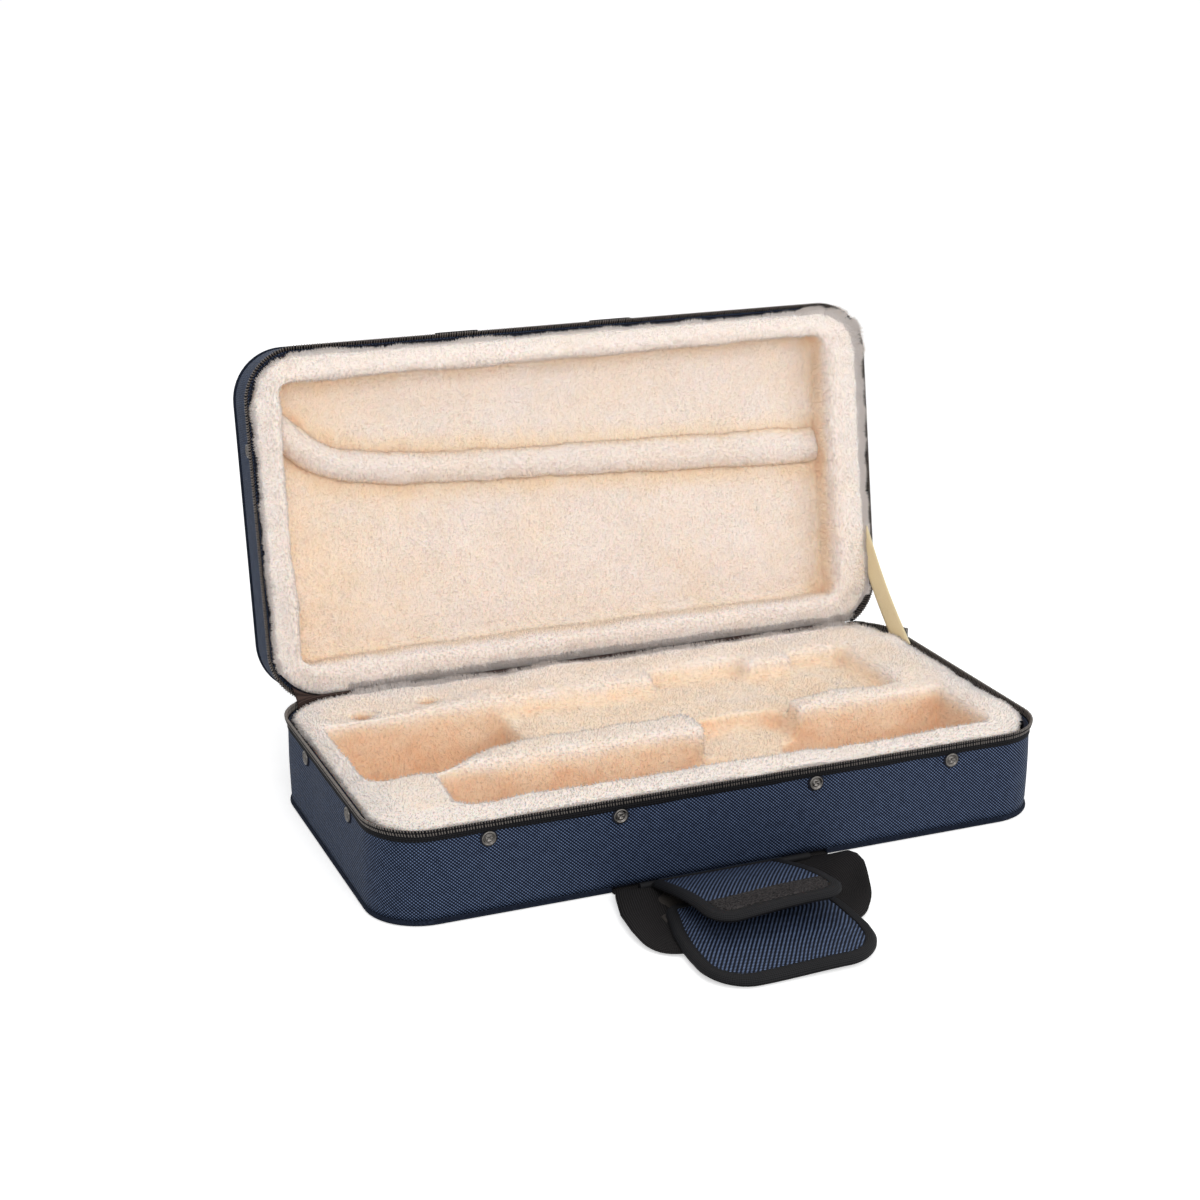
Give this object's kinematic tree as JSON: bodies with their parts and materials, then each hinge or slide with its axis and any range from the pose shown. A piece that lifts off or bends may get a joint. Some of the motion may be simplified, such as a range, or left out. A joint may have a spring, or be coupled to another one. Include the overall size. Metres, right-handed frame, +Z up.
{
  "type": "trumpet case",
  "caption": "Soft-shell oblong instrument case with a zip-edged hinged lid, plush-lined pockets and webbing carry handles.",
  "frame": {"origin": "centre of the base's plan, on the flat underside the case rests on", "axes": "+X along the case's length, to the right as seen from the front; +Y from the front wall to the hinge; +Z up"},
  "size_m": [0.5589, 0.5596, 0.3536],
  "materials": {
    "cover_cloth": "two-tone navy woven polyester",
    "piping": "navy cloth over cord",
    "board": "thin board",
    "rivet_metal": "dark nickel",
    "foam": "block padding",
    "plush": "cream and peach short-pile plush",
    "zip_tape": "black woven tape",
    "zip_coil": "black coil",
    "webbing": "black ribbed webbing",
    "hinge_cloth": "dark brown cloth",
    "ribbon": "khaki woven ribbon",
    "binding_tape": "black binding tape",
    "fastening_strip": "dark grey hook and loop"
  },
  "bodies": {
    "base": {"base_bottom_panel": "cover_cloth", "base_piping": "piping", "base_tray": "board", "base_cover": "cover_cloth", "base_rivets": "rivet_metal", "base_foam": "foam", "base_plush": "plush", "base_zip_tape": "zip_tape", "base_zip_chain": "zip_coil", "base_zip_stops": "rivet_metal", "base_handle_tabs": "webbing", "hinge_leaf_base": "hinge_cloth", "hinge_spine": "hinge_cloth", "lid_stay": "ribbon"},
    "lid": {"lid_top_panel": "cover_cloth", "lid_piping": "piping", "lid_tray": "board", "lid_cover": "cover_cloth", "lid_rivets": "rivet_metal", "lid_foam": "foam", "lid_plush": "plush", "lid_bolster": "plush", "lid_zip_tape": "zip_tape", "lid_zip_chain": "zip_coil", "lid_handle_tabs": "webbing", "hinge_leaf_lid": "hinge_cloth"},
    "base_handle": {"base_handle_webbing": "webbing", "grip_spine": "binding_tape", "grip_seat_panel": "cover_cloth", "grip_seat_binding": "binding_tape"},
    "grip_upper": {"grip_upper_panel": "cover_cloth", "grip_upper_binding": "binding_tape", "grip_loop_strip": "fastening_strip"},
    "grip_leaf": {"grip_leaf_panel": "cover_cloth", "grip_leaf_binding": "binding_tape", "grip_hook_strip": "fastening_strip"},
    "lid_handle": {"lid_handle_webbing": "webbing"},
    "slider": {"zip_slider": "rivet_metal", "slider_pin": "rivet_metal"},
    "pull": {"slider_pull": "rivet_metal"}
  },
  "joints": [
    {"name": "lid_hinge", "type": "hinge", "parent": "base", "child": "lid", "pos_m": [0, 0.14, 0.0746], "axis": [1, 0, 0], "range_deg": [0, 100], "deforming": ["lid_stay"]},
    {"name": "base_handle_fold", "type": "hinge", "parent": "base", "child": "base_handle", "pos_m": [0, -0.1463, 0.001], "axis": [-1, 0, 0], "range_deg": [0, 45]},
    {"name": "grip_upper_fold", "type": "hinge", "parent": "base_handle", "child": "grip_upper", "pos_m": [-0.018, -0.15, 0.0051], "axis": [-1, 0, 0], "range_deg": [0, 30]},
    {"name": "grip_leaf_fold", "type": "hinge", "parent": "base_handle", "child": "grip_leaf", "pos_m": [-0.024, -0.2676, 0.0085], "axis": [-1, 0, 0], "range_deg": [0, 90]},
    {"name": "lid_handle_swing", "type": "hinge", "parent": "lid", "child": "lid_handle", "pos_m": [0, 0.24516, 0.34444], "axis": [1, 0, 0], "range_deg": [-8, 160]},
    {"name": "slider_travel", "type": "slide", "parent": "base", "child": "slider", "axis": [0, -1, 0], "range_m": [0, 0.18]},
    {"name": "pull_swing", "type": "hinge", "parent": "slider", "child": "pull", "pos_m": [0.2804, 0.094, 0.0765], "axis": [0, 0, -1], "range_deg": [0, 170]}
  ]
}
